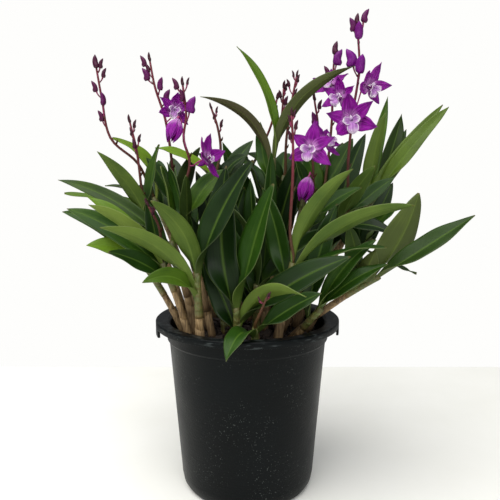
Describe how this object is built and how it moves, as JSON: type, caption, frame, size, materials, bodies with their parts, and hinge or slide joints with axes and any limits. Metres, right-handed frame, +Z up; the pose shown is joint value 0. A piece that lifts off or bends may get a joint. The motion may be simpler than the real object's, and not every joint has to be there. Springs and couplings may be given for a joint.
{
  "type": "potted orchid",
  "caption": "Rock dendrobium orchid with leafy canes, budding spikes and open violet blooms, growing in a round nursery pot of bark mix.",
  "frame": {"origin": "centre of the pot's underside, on the surface that it stands on", "axes": "+Z up, +Y towards the back of the plant, +X to the right as seen from the front"},
  "size_m": [0.2767, 0.1831, 0.3305],
  "materials": {
    "pot": "matt black plastic with dust and fine scuffs",
    "bark_mix": "dark chipped bark",
    "leafy_stems": "leathery green leaves with a low gloss on tan canes with papery sheaths",
    "flower_spikes": "red-brown stems with maroon to violet buds",
    "blooms": "soft violet petals with a pale lip"
  },
  "bodies": {
    "root": {"pot": "pot", "potting_mix": "bark_mix", "leafy_stem_01": "leafy_stems", "leafy_stem_02": "leafy_stems", "leafy_stem_03": "leafy_stems", "leafy_stem_04": "leafy_stems", "leafy_stem_05": "leafy_stems", "leafy_stem_06": "leafy_stems", "leafy_stem_07": "leafy_stems", "leafy_stem_08": "leafy_stems", "leafy_stem_09": "leafy_stems", "leafy_stem_10": "leafy_stems", "leafy_stem_11": "leafy_stems", "leafy_stem_12": "leafy_stems", "leafy_stem_13": "leafy_stems", "leafy_stem_14": "leafy_stems", "leafy_stem_15": "leafy_stems", "leafy_stem_16": "leafy_stems", "leafy_stem_17": "leafy_stems", "leafy_stem_18": "leafy_stems", "leafy_stem_19": "leafy_stems", "leafy_stem_20": "leafy_stems", "leafy_stem_21": "leafy_stems", "leafy_stem_22": "leafy_stems", "leafy_stem_23": "leafy_stems", "leafy_stem_24": "leafy_stems", "leafy_stem_25": "leafy_stems", "leafy_stem_26": "leafy_stems", "leafy_stem_27": "leafy_stems", "leafy_stem_28": "leafy_stems", "leafy_stem_29": "leafy_stems", "leafy_stem_30": "leafy_stems", "leafy_stem_31": "leafy_stems", "flower_spike_01": "flower_spikes", "flower_spike_02": "flower_spikes", "flower_spike_03": "flower_spikes", "flower_spike_04": "flower_spikes", "flower_spike_05": "flower_spikes", "flower_spike_06": "flower_spikes", "flower_spike_07": "flower_spikes", "flower_spike_08": "flower_spikes", "flower_spike_09": "flower_spikes", "flower_spike_10": "flower_spikes", "flower_spike_11": "flower_spikes", "flower_spike_12": "flower_spikes", "flower_spike_13": "flower_spikes", "flower_spike_14": "flower_spikes", "flower_spike_15": "flower_spikes", "bloom_01": "blooms", "bloom_02": "blooms", "bloom_03": "blooms", "bloom_04": "blooms", "bloom_05": "blooms", "bloom_06": "blooms", "bloom_07": "blooms", "bloom_08": "blooms", "bloom_09": "blooms", "bloom_10": "blooms"}
  },
  "joints": []
}
